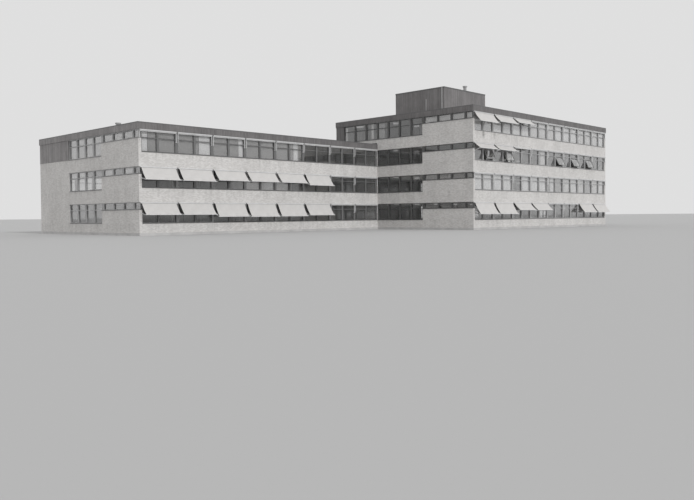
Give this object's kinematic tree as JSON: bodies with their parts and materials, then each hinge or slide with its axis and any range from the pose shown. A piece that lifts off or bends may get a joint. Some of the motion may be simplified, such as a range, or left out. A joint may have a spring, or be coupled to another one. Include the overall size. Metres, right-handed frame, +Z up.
{
  "type": "school building scale model at half size",
  "caption": "Flat-roofed school of two staggered wings with brick bands, window strips, drop-arm awnings and a roof plant room.",
  "frame": {"origin": "middle of the side wall that the two wings share, on the underside of the ground slab", "axes": "+X to the right along the fronts, +Y from front to back, +Z up"},
  "size_m": [32.7, 18.1875, 8.855],
  "materials": {
    "concrete": "matte",
    "brick": "matte",
    "roofing": "matte",
    "window_frame": "satin",
    "window_glass": "glossy",
    "cladding": "matte",
    "awning_metal": "satin",
    "awning_cloth": "matte",
    "pipework": "satin"
  },
  "bodies": {
    "root": {"end_cladding": "cladding", "entrance_door": "cladding", "ground_slab": "concrete", "left_wing_awning_arms": "awning_metal", "left_wing_awning_cassettes": "awning_metal", "left_wing_awning_cloths": "awning_cloth", "left_wing_back_brickwork": "brick", "left_wing_back_glass": "window_glass", "left_wing_back_window_frames": "window_frame", "left_wing_columns": "concrete", "left_wing_end_glass": "window_glass", "left_wing_end_window_frames": "window_frame", "left_wing_fascia": "cladding", "left_wing_first_floor": "concrete", "left_wing_front_brickwork": "brick", "left_wing_front_glass": "window_glass", "left_wing_front_window_frames": "window_frame", "left_wing_left_end_wall": "brick", "left_wing_right_end_wall": "brick", "left_wing_roof": "roofing", "left_wing_second_floor": "concrete", "open_windows": "window_frame", "plant_room_pipes": "pipework", "plant_room_roof": "roofing", "plant_room_walls": "cladding", "right_wing_awning_arms": "awning_metal", "right_wing_awning_cassettes": "awning_metal", "right_wing_awning_cloths": "awning_cloth", "right_wing_back_brickwork": "brick", "right_wing_back_glass": "window_glass", "right_wing_back_window_frames": "window_frame", "right_wing_columns": "concrete", "right_wing_end_glass": "window_glass", "right_wing_end_window_frames": "window_frame", "right_wing_fascia": "cladding", "right_wing_first_floor": "concrete", "right_wing_front_brickwork": "brick", "right_wing_front_glass": "window_glass", "right_wing_front_window_frames": "window_frame", "right_wing_left_end_wall": "brick", "right_wing_right_end_wall": "brick", "right_wing_roof": "roofing", "right_wing_second_floor": "concrete", "right_wing_third_floor": "concrete", "roof_vents": "pipework"}
  },
  "joints": []
}
